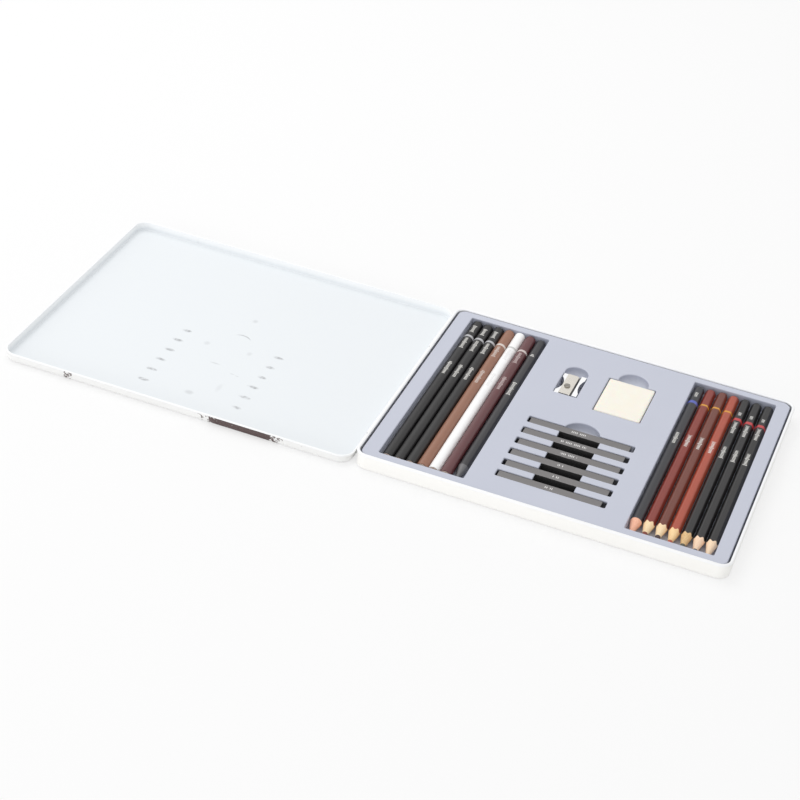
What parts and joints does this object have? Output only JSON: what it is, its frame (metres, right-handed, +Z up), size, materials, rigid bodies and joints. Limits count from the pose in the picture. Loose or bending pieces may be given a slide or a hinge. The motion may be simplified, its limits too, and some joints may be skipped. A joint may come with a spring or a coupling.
{
  "type": "pencil tin",
  "caption": "Flat hinged metal tin with a formed insert tray that holds coloured and graphite pencils, drawing sticks, a sharpener and an eraser.",
  "frame": {"origin": "centre of the base's flat underside, on the surface that the tin stands on", "axes": "+X along the tin's width, away from the hinge; +Y towards the back, along the pencils from their points to their dipped ends; +Z up"},
  "size_m": [0.4886, 0.2012, 0.0115],
  "materials": {
    "tin_outside": "drawn tinplate, cream-white enamel outside, satin",
    "tin_inside": "drawn tinplate, white lacquer, satin, with faint rub marks",
    "wire": "plated steel wire",
    "tray": "vacuum-formed sheet, matte light grey-lavender",
    "eraser": "soft cream block eraser",
    "sharpener_metal": "milled magnesium-alloy block, satin",
    "blade_steel": "ground blade steel",
    "screw_steel": "turned steel screw",
    "charcoal": "compressed charcoal, matte with a grey sheen",
    "graphite": "solid graphite, lacquered barrel and bare cone",
    "soft_lead": "charcoal core",
    "grey_lead": "graphite core",
    "red_brown_lead": "red-brown pigment core",
    "umber_lead": "dark brown pigment core",
    "orange_red_lead": "orange-red pigment core",
    "black_paint": "wood casing, satin black paint, bare wood at the point",
    "slate_paint": "wood casing, satin blue-black paint, bare wood at the point",
    "brown_paint": "wood casing, satin light brown paint",
    "white_paint": "wood casing, satin white paint",
    "dark_red_paint": "wood casing, satin dark red-brown paint",
    "red_brown_paint": "wood casing, satin red-brown paint, bare wood at the point",
    "umber_paint": "wood casing, satin brown paint, bare wood at the point",
    "orange_red_paint": "wood casing, satin orange-red paint, bare wood at the point"
  },
  "bodies": {
    "base": {"tin_base": "tin_outside", "hinge_pins": "wire"},
    "lid": {"tin_lid": "tin_inside"},
    "tray": {"insert_tray": "tray"},
    "eraser": {"eraser": "eraser"},
    "sharpener": {"sharpener_body": "sharpener_metal", "sharpener_blade": "blade_steel", "sharpener_screw": "screw_steel"},
    "stick_1": {"stick_1": "charcoal"},
    "stick_2": {"stick_2": "charcoal"},
    "stick_3": {"stick_3": "charcoal"},
    "stick_4": {"stick_4": "charcoal"},
    "stick_5": {"stick_5": "charcoal"},
    "stick_6": {"stick_6": "charcoal"},
    "left_pencil_1": {"left_pencil_1_casing": "black_paint", "left_pencil_1_lead": "soft_lead"},
    "left_pencil_2": {"left_pencil_2_casing": "black_paint", "left_pencil_2_lead": "soft_lead"},
    "left_pencil_3": {"left_pencil_3_casing": "black_paint", "left_pencil_3_lead": "soft_lead"},
    "left_pencil_4": {"left_pencil_4_casing": "brown_paint", "left_pencil_4_lead": "soft_lead"},
    "left_pencil_5": {"left_pencil_5_casing": "white_paint", "left_pencil_5_lead": "soft_lead"},
    "left_pencil_6": {"left_pencil_6_casing": "dark_red_paint", "left_pencil_6_lead": "soft_lead"},
    "graphite_pencil": {"graphite_pencil": "graphite"},
    "right_pencil_1": {"right_pencil_1_casing": "slate_paint", "right_pencil_1_lead": "grey_lead"},
    "right_pencil_2": {"right_pencil_2_casing": "red_brown_paint", "right_pencil_2_lead": "red_brown_lead"},
    "right_pencil_3": {"right_pencil_3_casing": "umber_paint", "right_pencil_3_lead": "umber_lead"},
    "right_pencil_4": {"right_pencil_4_casing": "orange_red_paint", "right_pencil_4_lead": "orange_red_lead"},
    "right_pencil_5": {"right_pencil_5_casing": "black_paint", "right_pencil_5_lead": "grey_lead"},
    "right_pencil_6": {"right_pencil_6_casing": "black_paint", "right_pencil_6_lead": "grey_lead"},
    "right_pencil_7": {"right_pencil_7_casing": "black_paint", "right_pencil_7_lead": "grey_lead"}
  },
  "joints": [
    {"name": "lid_hinge", "type": "hinge", "parent": "base", "child": "lid", "pos_m": [-0.1225, 0, 0.00613], "axis": [0, -1, 0], "range_deg": [-180, 0]},
    {"name": "tray_lift", "type": "slide", "parent": "base", "child": "tray", "axis": [0, 0, 1], "range_m": [0, 0.014]},
    {"name": "eraser_lift", "type": "slide", "parent": "tray", "child": "eraser", "axis": [0, 0, 1], "range_m": [0, 0.012]},
    {"name": "sharpener_lift", "type": "slide", "parent": "tray", "child": "sharpener", "axis": [0, 0, 1], "range_m": [0, 0.014]},
    {"name": "stick_1_lift", "type": "slide", "parent": "tray", "child": "stick_1", "axis": [0, 0, 1], "range_m": [0, 0.01]},
    {"name": "stick_2_lift", "type": "slide", "parent": "tray", "child": "stick_2", "axis": [0, 0, 1], "range_m": [0, 0.01]},
    {"name": "stick_3_lift", "type": "slide", "parent": "tray", "child": "stick_3", "axis": [0, 0, 1], "range_m": [0, 0.01]},
    {"name": "stick_4_lift", "type": "slide", "parent": "tray", "child": "stick_4", "axis": [0, 0, 1], "range_m": [0, 0.01]},
    {"name": "stick_5_lift", "type": "slide", "parent": "tray", "child": "stick_5", "axis": [0, 0, 1], "range_m": [0, 0.01]},
    {"name": "stick_6_lift", "type": "slide", "parent": "tray", "child": "stick_6", "axis": [0, 0, 1], "range_m": [0, 0.01]},
    {"name": "left_pencil_1_lift", "type": "slide", "parent": "tray", "child": "left_pencil_1", "axis": [0, 0, 1], "range_m": [0, 0.012]},
    {"name": "left_pencil_2_lift", "type": "slide", "parent": "tray", "child": "left_pencil_2", "axis": [0, 0, 1], "range_m": [0, 0.012]},
    {"name": "left_pencil_3_lift", "type": "slide", "parent": "tray", "child": "left_pencil_3", "axis": [0, 0, 1], "range_m": [0, 0.012]},
    {"name": "left_pencil_4_lift", "type": "slide", "parent": "tray", "child": "left_pencil_4", "axis": [0, 0, 1], "range_m": [0, 0.012]},
    {"name": "left_pencil_5_lift", "type": "slide", "parent": "tray", "child": "left_pencil_5", "axis": [0, 0, 1], "range_m": [0, 0.012]},
    {"name": "left_pencil_6_lift", "type": "slide", "parent": "tray", "child": "left_pencil_6", "axis": [0, 0, 1], "range_m": [0, 0.012]},
    {"name": "graphite_pencil_lift", "type": "slide", "parent": "tray", "child": "graphite_pencil", "axis": [0, 0, 1], "range_m": [0, 0.012]},
    {"name": "right_pencil_1_lift", "type": "slide", "parent": "tray", "child": "right_pencil_1", "axis": [0, 0, 1], "range_m": [0, 0.012]},
    {"name": "right_pencil_2_lift", "type": "slide", "parent": "tray", "child": "right_pencil_2", "axis": [0, 0, 1], "range_m": [0, 0.012]},
    {"name": "right_pencil_3_lift", "type": "slide", "parent": "tray", "child": "right_pencil_3", "axis": [0, 0, 1], "range_m": [0, 0.012]},
    {"name": "right_pencil_4_lift", "type": "slide", "parent": "tray", "child": "right_pencil_4", "axis": [0, 0, 1], "range_m": [0, 0.012]},
    {"name": "right_pencil_5_lift", "type": "slide", "parent": "tray", "child": "right_pencil_5", "axis": [0, 0, 1], "range_m": [0, 0.012]},
    {"name": "right_pencil_6_lift", "type": "slide", "parent": "tray", "child": "right_pencil_6", "axis": [0, 0, 1], "range_m": [0, 0.012]},
    {"name": "right_pencil_7_lift", "type": "slide", "parent": "tray", "child": "right_pencil_7", "axis": [0, 0, 1], "range_m": [0, 0.012]}
  ]
}
